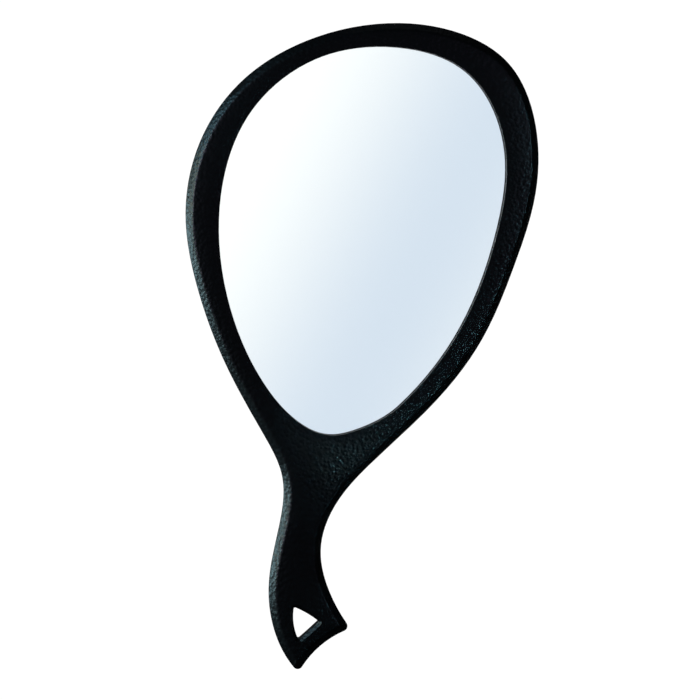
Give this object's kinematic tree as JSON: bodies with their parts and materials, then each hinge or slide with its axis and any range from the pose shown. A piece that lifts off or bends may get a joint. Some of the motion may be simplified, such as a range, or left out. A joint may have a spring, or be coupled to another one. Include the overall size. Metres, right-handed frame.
{
  "type": "hand mirror",
  "caption": "Teardrop hand mirror for a salon: glass held between two grained plastic shells, with a curved handle that ends in a fishtail and a three-cornered hanging hole.",
  "frame": {"origin": "middle of the grip, on the parting plane of the two shells", "axes": "+Z from the grip up to the head, -Y out of the mirror's face towards the user, +X to the right seen from the front"},
  "size_m": [0.21, 0.0116, 0.4014],
  "materials": {
    "front_shell": "fine leather grain, satin black",
    "rear_shell": "fine leather grain, satin black",
    "glass": "clear float glass",
    "silver": "polished mirror coating",
    "backing": "grey protective lacquer",
    "glue": "translucent hot-melt glue",
    "foam": "white closed-cell foam",
    "screws": "zinc-plated steel"
  },
  "bodies": {
    "root": {"front_frame": "front_shell", "rear_cover": "rear_shell", "mirror_glass": "glass", "silver_layer": "silver", "backing_paint": "backing", "glue_dabs": "glue", "foam_tapes": "foam", "cover_screws": "screws"}
  },
  "joints": []
}
